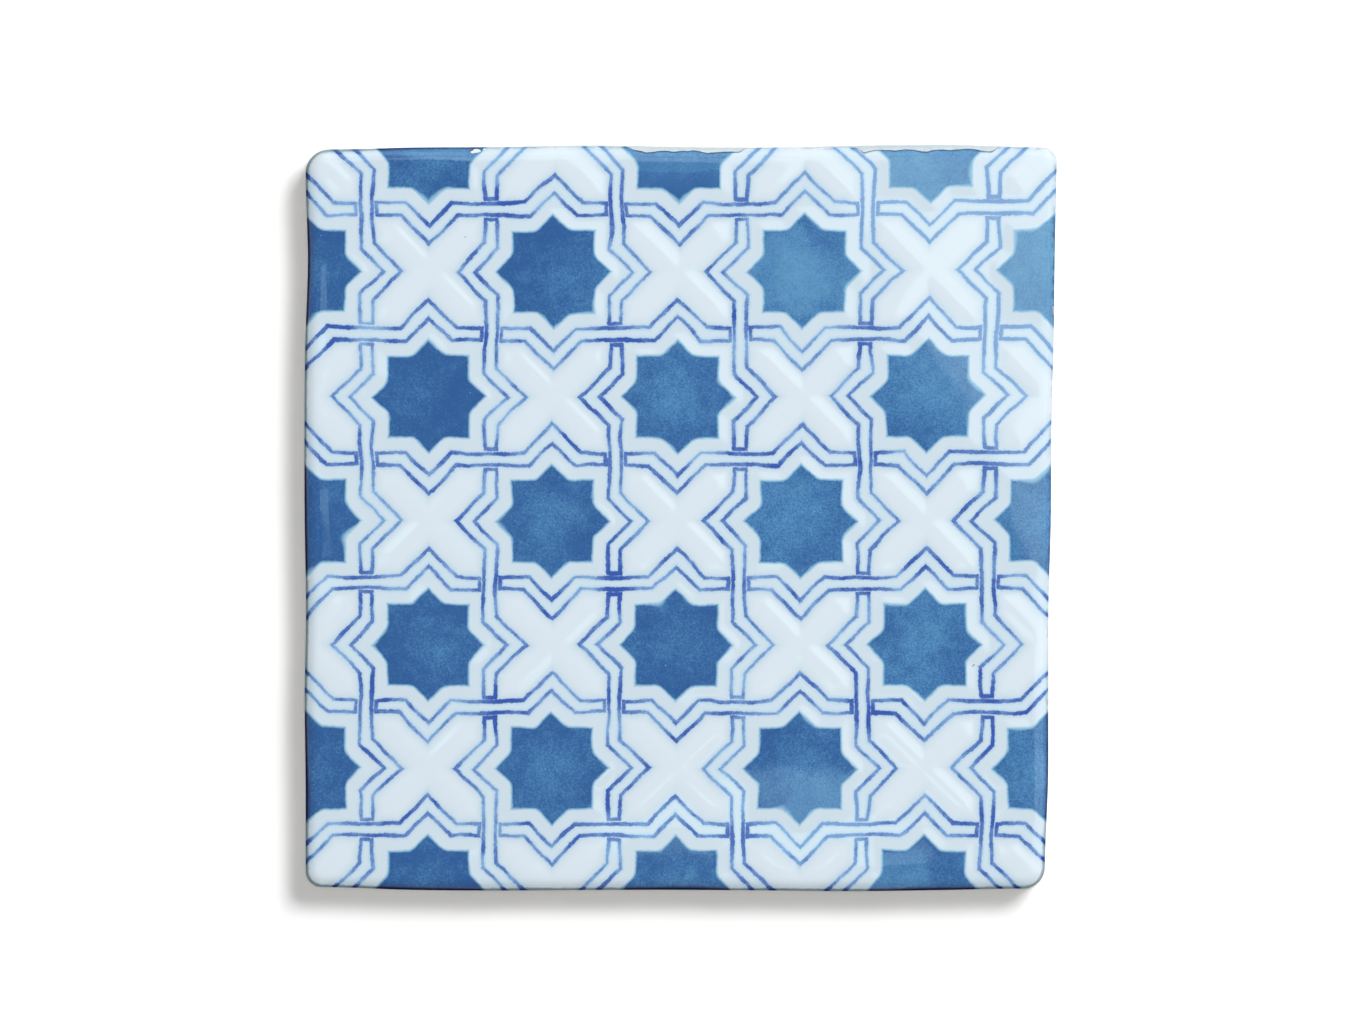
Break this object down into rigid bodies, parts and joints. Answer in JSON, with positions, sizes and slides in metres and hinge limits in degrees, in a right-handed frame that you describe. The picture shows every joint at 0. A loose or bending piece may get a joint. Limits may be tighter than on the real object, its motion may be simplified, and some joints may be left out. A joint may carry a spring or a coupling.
{
  "type": "wall tile",
  "caption": "Square glazed ceramic wall tile with a hand-pressed wavy edge, a pillowed face in a blue star and strap interlace, and a keyed back.",
  "frame": {"origin": "middle of the back, on the plane of the back, under the centre of the tile's bounding box", "axes": "+Z out of the glazed face, +Y towards the edge at the top of the picture, +X towards the edge at its right"},
  "size_m": [0.1314, 0.1304, 0.01],
  "materials": {
    "glazed_tile": "gloss glaze, pale blue-white with blue stars and strap lines; bare cream biscuit on the walls and back"
  },
  "bodies": {
    "root": {"glazed_tile": "glazed_tile"}
  },
  "joints": []
}
